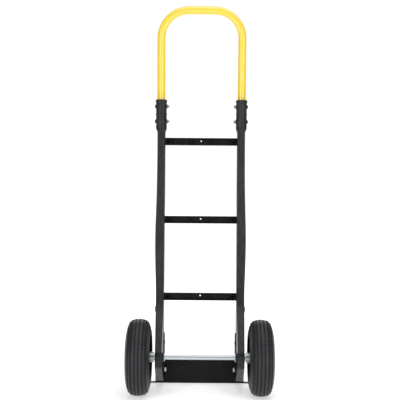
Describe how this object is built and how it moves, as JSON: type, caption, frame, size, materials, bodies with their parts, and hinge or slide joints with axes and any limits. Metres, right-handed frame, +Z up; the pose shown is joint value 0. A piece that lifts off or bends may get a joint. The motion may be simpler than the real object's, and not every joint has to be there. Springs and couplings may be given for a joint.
{
  "type": "hand truck",
  "caption": "Upright two-wheeled hand truck with a steel loop handle, moulded ladder frame, bolted toe plate and air-filled wheels on a plain axle.",
  "frame": {"origin": "on the floor, under the middle of the truck's box", "axes": "+Z up, +Y forward towards the load and the toe plate, +X to the truck's right as its user sees it from behind"},
  "size_m": [0.482, 0.51, 1.3175],
  "materials": {
    "rail_nylon": "dark grey glass-filled nylon, fine moulded texture",
    "crossbar_nylon": "black glass-filled nylon, fine moulded texture",
    "yellow_paint": "bright yellow powder coat on steel tube",
    "black_paint": "satin black powder coat on steel sheet",
    "black_bolts": "black oxide on steel",
    "zinc": "bright zinc plate, lightly scuffed",
    "tyre_rubber": "black rubber with a ribbed tread",
    "tube_rubber": "smooth black rubber",
    "rim_paint": "gloss black paint on pressed steel",
    "bearing_steel": "ground bearing steel",
    "valve_rubber": "black rubber",
    "cap_plastic": "black moulded cap"
  },
  "bodies": {
    "frame": {"left_side_rail": "rail_nylon", "right_side_rail": "rail_nylon", "upper_crossbar": "crossbar_nylon", "middle_crossbar": "crossbar_nylon", "lower_crossbar": "crossbar_nylon", "crossbar_screws": "black_bolts", "handle_loop": "yellow_paint", "handle_bolts": "black_bolts", "handle_nuts": "zinc", "toe_plate": "black_paint", "left_toe_bracket": "black_paint", "right_toe_bracket": "black_paint", "toe_plate_bolts": "black_bolts", "toe_plate_nuts": "zinc", "bracket_bolts": "black_bolts", "bracket_nuts": "zinc", "axle": "zinc", "axle_bushes": "zinc", "inner_washers": "zinc", "outer_washers": "zinc", "split_pins": "zinc"},
    "left_wheel": {"left_tyre": "tyre_rubber", "left_inner_tube": "tube_rubber", "left_rim_inner_half": "rim_paint", "left_rim_outer_half": "rim_paint", "left_hub": "zinc", "left_wheel_bearings": "bearing_steel", "left_rim_bolts": "zinc", "left_rim_nuts": "zinc", "left_valve_stem": "valve_rubber", "left_valve_cap": "cap_plastic"},
    "right_wheel": {"right_tyre": "tyre_rubber", "right_inner_tube": "tube_rubber", "right_rim_inner_half": "rim_paint", "right_rim_outer_half": "rim_paint", "right_hub": "zinc", "right_wheel_bearings": "bearing_steel", "right_rim_bolts": "zinc", "right_rim_nuts": "zinc", "right_valve_stem": "valve_rubber", "right_valve_cap": "cap_plastic"}
  },
  "joints": [
    {"name": "left_wheel_spin", "type": "hinge", "parent": "frame", "child": "left_wheel", "pos_m": [-0.201, -0.13, 0.125], "axis": [1, 0, 0], "continuous": true},
    {"name": "right_wheel_spin", "type": "hinge", "parent": "frame", "child": "right_wheel", "pos_m": [0.201, -0.13, 0.125], "axis": [1, 0, 0], "continuous": true}
  ]
}
